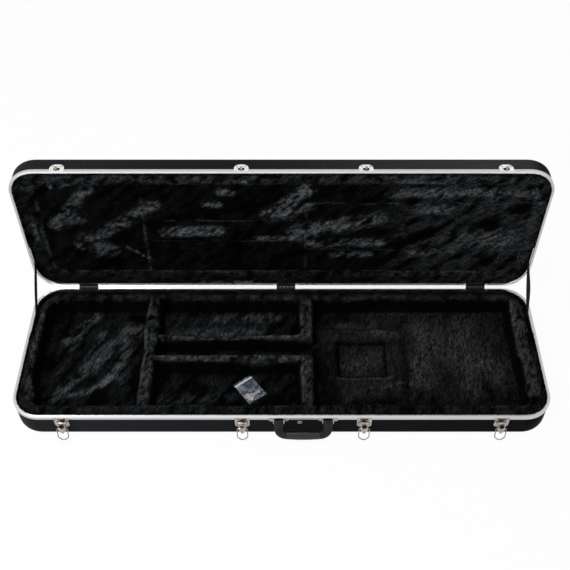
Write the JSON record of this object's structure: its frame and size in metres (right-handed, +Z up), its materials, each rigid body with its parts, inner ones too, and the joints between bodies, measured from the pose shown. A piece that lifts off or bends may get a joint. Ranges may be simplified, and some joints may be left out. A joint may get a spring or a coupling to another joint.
{
  "type": "guitar case",
  "caption": "Oblong moulded hard case for an electric guitar or bass, standing open: plush-padded base and lid, bright valance rims, draw latches, carrying handle and stay straps.",
  "frame": {"origin": "middle of the flat underside of the base", "axes": "+X along the case towards the body end, +Y from the handle side to the hinges, +Z up"},
  "size_m": [1.23, 0.4709, 0.4728],
  "materials": {
    "shell": "fine moulded grain",
    "valance": "satin extrusion",
    "plush": "deep crushed pile",
    "nickel": "bright plating",
    "black_steel": "satin black",
    "handle": "satin moulded",
    "webbing": "woven tape",
    "lock_steel": "dark turned",
    "film": "clear film",
    "key_steel": "stamped"
  },
  "bodies": {
    "base": {"base_shell": "shell", "base_valance": "valance", "base_floor_pad": "plush", "base_border": "plush", "body_end_pad": "plush", "head_divider": "plush", "neck_rail_rear": "plush", "neck_rail_front": "plush", "body_divider_rear": "plush", "body_divider_front": "plush", "heel_platform": "plush", "hinge_pins": "black_steel", "hinge_rivets_base": "black_steel", "lever_pins": "nickel", "latch_rivets": "nickel", "handle_bracket_left": "nickel", "handle_bracket_right": "nickel", "handle_pins": "nickel", "handle_rivets": "nickel", "bumper_stud": "nickel", "strap_anchors_base": "black_steel", "strap_left": "webbing", "strap_right": "webbing", "key_bag": "film", "keys": "key_steel", "hinge_leaf_base_1": "black_steel", "hinge_leaf_base_2": "black_steel", "hinge_leaf_base_3": "black_steel", "latch_plate_1": "nickel", "latch_plate_2": "nickel", "latch_plate_3": "nickel", "latch_plate_4": "nickel"},
    "lid": {"lid_shell": "shell", "lid_valance": "valance", "lid_border": "plush", "lid_head_panel": "plush", "lid_neck_panels": "plush", "lid_body_panel": "plush", "hinge_rivets_lid": "black_steel", "catch_rivets": "nickel", "strap_anchors_lid": "black_steel", "hinge_leaf_lid_1": "black_steel", "hinge_leaf_lid_2": "black_steel", "hinge_leaf_lid_3": "black_steel", "catch_1": "nickel", "catch_2": "nickel", "catch_3": "nickel", "catch_4": "nickel"},
    "lever_1": {"lever_1": "nickel"},
    "bail_1": {"bail_1": "nickel"},
    "lever_2": {"lever_2": "nickel"},
    "bail_2": {"bail_2": "nickel"},
    "lever_3": {"lever_3": "nickel"},
    "bail_3": {"bail_3": "nickel"},
    "lever_4": {"lever_4": "nickel"},
    "bail_4": {"bail_4": "nickel"},
    "handle": {"handle_frame": "handle", "handle_grip": "handle"},
    "lock_plug": {"lock_plug": "lock_steel"}
  },
  "joints": [
    {"name": "lid_hinge", "type": "hinge", "parent": "base", "child": "lid", "pos_m": [0, 0.1956, 0.0742], "axis": [1, 0, 0], "range_deg": [0, 90], "deforming": ["strap_left", "strap_right"]},
    {"name": "lever_1_pivot", "type": "hinge", "parent": "base", "child": "lever_1", "pos_m": [-0.497, -0.1995, 0.062], "axis": [1, 0, 0], "range_deg": [-126, 12]},
    {"name": "bail_1_pivot", "type": "hinge", "parent": "lever_1", "child": "bail_1", "pos_m": [-0.497, -0.20361, 0.0455], "axis": [-1, 0, 0], "range_deg": [0, 178]},
    {"name": "lever_2_pivot", "type": "hinge", "parent": "base", "child": "lever_2", "pos_m": [-0.089, -0.1995, 0.062], "axis": [1, 0, 0], "range_deg": [-126, 12]},
    {"name": "bail_2_pivot", "type": "hinge", "parent": "lever_2", "child": "bail_2", "pos_m": [-0.089, -0.20361, 0.0455], "axis": [-1, 0, 0], "range_deg": [0, 178]},
    {"name": "lever_3_pivot", "type": "hinge", "parent": "base", "child": "lever_3", "pos_m": [0.187, -0.1995, 0.062], "axis": [1, 0, 0], "range_deg": [-126, 12]},
    {"name": "bail_3_pivot", "type": "hinge", "parent": "lever_3", "child": "bail_3", "pos_m": [0.187, -0.20361, 0.0455], "axis": [-1, 0, 0], "range_deg": [0, 178]},
    {"name": "lever_4_pivot", "type": "hinge", "parent": "base", "child": "lever_4", "pos_m": [0.497, -0.1995, 0.062], "axis": [1, 0, 0], "range_deg": [-126, 12]},
    {"name": "bail_4_pivot", "type": "hinge", "parent": "lever_4", "child": "bail_4", "pos_m": [0.497, -0.20361, 0.0455], "axis": [-1, 0, 0], "range_deg": [0, 178]},
    {"name": "handle_pivot", "type": "hinge", "parent": "base", "child": "handle", "pos_m": [0.049, -0.1993, 0.066], "axis": [-1, 0, 0], "range_deg": [0, 120]},
    {"name": "lock_plug_turn", "type": "hinge", "parent": "lever_2", "child": "lock_plug", "pos_m": [-0.089, -0.20163, 0.05346], "axis": [0, -0.9703, 0.2419], "range_deg": [0, 90]}
  ]
}
